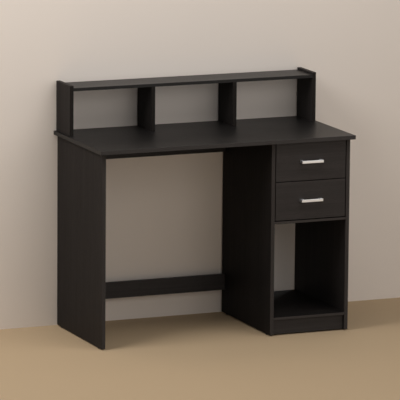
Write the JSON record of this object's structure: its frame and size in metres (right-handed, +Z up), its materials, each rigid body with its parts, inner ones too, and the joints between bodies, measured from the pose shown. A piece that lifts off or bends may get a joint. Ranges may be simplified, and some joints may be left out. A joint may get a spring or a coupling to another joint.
{
  "type": "student desk with hutch",
  "caption": "Black laminate writing desk with a low open hutch along the rear edge, a kneehole with rear rails, and a side pedestal of inset drawers on roller runners over an open cubby.",
  "frame": {"origin": "on the floor under the middle of the desktop", "axes": "+X to the seated user's right, the pedestal's side; +Y to the rear, the hutch's side; +Z up"},
  "size_m": [1.025, 0.49, 0.94],
  "materials": {
    "black_laminate": "satin black woodgrain melamine on particle board",
    "drawer_board": "plain matt black foil on thin particle board",
    "hardboard": "dark painted hardboard",
    "satin_nickel": "satin nickel plate",
    "runner_steel": "black epoxy coated steel",
    "nylon": "moulded white nylon",
    "zinc": "bright zinc plate",
    "beech": "bare fluted beech",
    "black_plastic": "moulded black plastic"
  },
  "bodies": {
    "desk": {"desktop": "black_laminate", "left_side_panel": "black_laminate", "pedestal_left_panel": "black_laminate", "pedestal_right_panel": "black_laminate", "drawer_bay_shelf": "black_laminate", "pedestal_bottom_shelf": "black_laminate", "kick_board": "black_laminate", "rear_apron": "black_laminate", "pedestal_rear_rail": "black_laminate", "lower_stretcher": "black_laminate", "hutch_left_panel": "black_laminate", "hutch_right_panel": "black_laminate", "hutch_shelf": "black_laminate", "hutch_left_divider": "black_laminate", "hutch_right_divider": "black_laminate", "cam_lock_discs": "zinc", "cam_lock_bolts": "zinc", "wood_dowels": "beech", "hutch_screws": "zinc", "channel_screws": "zinc", "floor_glides": "black_plastic", "channel_roller_axles": "zinc", "upper_left_runner_channel": "runner_steel", "upper_right_runner_channel": "runner_steel", "lower_left_runner_channel": "runner_steel", "lower_right_runner_channel": "runner_steel"},
    "upper_drawer": {"upper_drawer_front": "black_laminate", "upper_drawer_left_side": "drawer_board", "upper_drawer_right_side": "drawer_board", "upper_drawer_back": "drawer_board", "upper_drawer_bottom": "hardboard", "upper_drawer_handle": "satin_nickel", "upper_drawer_handle_screws": "zinc", "upper_drawer_dowels": "beech", "upper_drawer_box_screws": "zinc", "upper_drawer_left_runner": "runner_steel", "upper_drawer_right_runner": "runner_steel", "upper_drawer_runner_screws": "zinc", "upper_drawer_roller_axles": "zinc"},
    "lower_drawer": {"lower_drawer_front": "black_laminate", "lower_drawer_left_side": "drawer_board", "lower_drawer_right_side": "drawer_board", "lower_drawer_back": "drawer_board", "lower_drawer_bottom": "hardboard", "lower_drawer_handle": "satin_nickel", "lower_drawer_handle_screws": "zinc", "lower_drawer_dowels": "beech", "lower_drawer_box_screws": "zinc", "lower_drawer_left_runner": "runner_steel", "lower_drawer_right_runner": "runner_steel", "lower_drawer_runner_screws": "zinc", "lower_drawer_roller_axles": "zinc"},
    "upper_left_channel_roller": {"upper_left_channel_roller": "nylon"},
    "upper_drawer_left_roller": {"upper_drawer_left_roller": "nylon"},
    "upper_right_channel_roller": {"upper_right_channel_roller": "nylon"},
    "upper_drawer_right_roller": {"upper_drawer_right_roller": "nylon"},
    "lower_left_channel_roller": {"lower_left_channel_roller": "nylon"},
    "lower_drawer_left_roller": {"lower_drawer_left_roller": "nylon"},
    "lower_right_channel_roller": {"lower_right_channel_roller": "nylon"},
    "lower_drawer_right_roller": {"lower_drawer_right_roller": "nylon"}
  },
  "joints": [
    {"name": "upper_drawer_slide", "type": "slide", "parent": "desk", "child": "upper_drawer", "axis": [0, -1, 0], "range_m": [0, 0.29]},
    {"name": "lower_drawer_slide", "type": "slide", "parent": "desk", "child": "lower_drawer", "axis": [0, -1, 0], "range_m": [0, 0.29]},
    {"name": "upper_left_channel_roller_spin", "type": "hinge", "parent": "desk", "child": "upper_left_channel_roller", "pos_m": [0.19975, -0.195, 0.60135], "axis": [1, 0, 0], "continuous": true},
    {"name": "upper_drawer_left_roller_spin", "type": "hinge", "parent": "upper_drawer", "child": "upper_drawer_left_roller", "pos_m": [0.19975, 0.176, 0.60135], "axis": [1, 0, 0], "continuous": true},
    {"name": "upper_right_channel_roller_spin", "type": "hinge", "parent": "desk", "child": "upper_right_channel_roller", "pos_m": [0.47825, -0.195, 0.60135], "axis": [1, 0, 0], "continuous": true},
    {"name": "upper_drawer_right_roller_spin", "type": "hinge", "parent": "upper_drawer", "child": "upper_drawer_right_roller", "pos_m": [0.47825, 0.176, 0.60135], "axis": [1, 0, 0], "continuous": true},
    {"name": "lower_left_channel_roller_spin", "type": "hinge", "parent": "desk", "child": "lower_left_channel_roller", "pos_m": [0.19975, -0.195, 0.4542], "axis": [1, 0, 0], "continuous": true},
    {"name": "lower_drawer_left_roller_spin", "type": "hinge", "parent": "lower_drawer", "child": "lower_drawer_left_roller", "pos_m": [0.19975, 0.176, 0.4542], "axis": [1, 0, 0], "continuous": true},
    {"name": "lower_right_channel_roller_spin", "type": "hinge", "parent": "desk", "child": "lower_right_channel_roller", "pos_m": [0.47825, -0.195, 0.4542], "axis": [1, 0, 0], "continuous": true},
    {"name": "lower_drawer_right_roller_spin", "type": "hinge", "parent": "lower_drawer", "child": "lower_drawer_right_roller", "pos_m": [0.47825, 0.176, 0.4542], "axis": [1, 0, 0], "continuous": true}
  ],
  "couplings": [
    {"joint": "upper_left_channel_roller_spin", "follows": "upper_drawer_slide", "rad_per_m": 105.26},
    {"joint": "upper_drawer_left_roller_spin", "follows": "upper_drawer_slide", "rad_per_m": 105.26},
    {"joint": "upper_right_channel_roller_spin", "follows": "upper_drawer_slide", "rad_per_m": 105.26},
    {"joint": "upper_drawer_right_roller_spin", "follows": "upper_drawer_slide", "rad_per_m": 105.26},
    {"joint": "lower_left_channel_roller_spin", "follows": "lower_drawer_slide", "rad_per_m": 105.26},
    {"joint": "lower_drawer_left_roller_spin", "follows": "lower_drawer_slide", "rad_per_m": 105.26},
    {"joint": "lower_right_channel_roller_spin", "follows": "lower_drawer_slide", "rad_per_m": 105.26},
    {"joint": "lower_drawer_right_roller_spin", "follows": "lower_drawer_slide", "rad_per_m": 105.26}
  ]
}
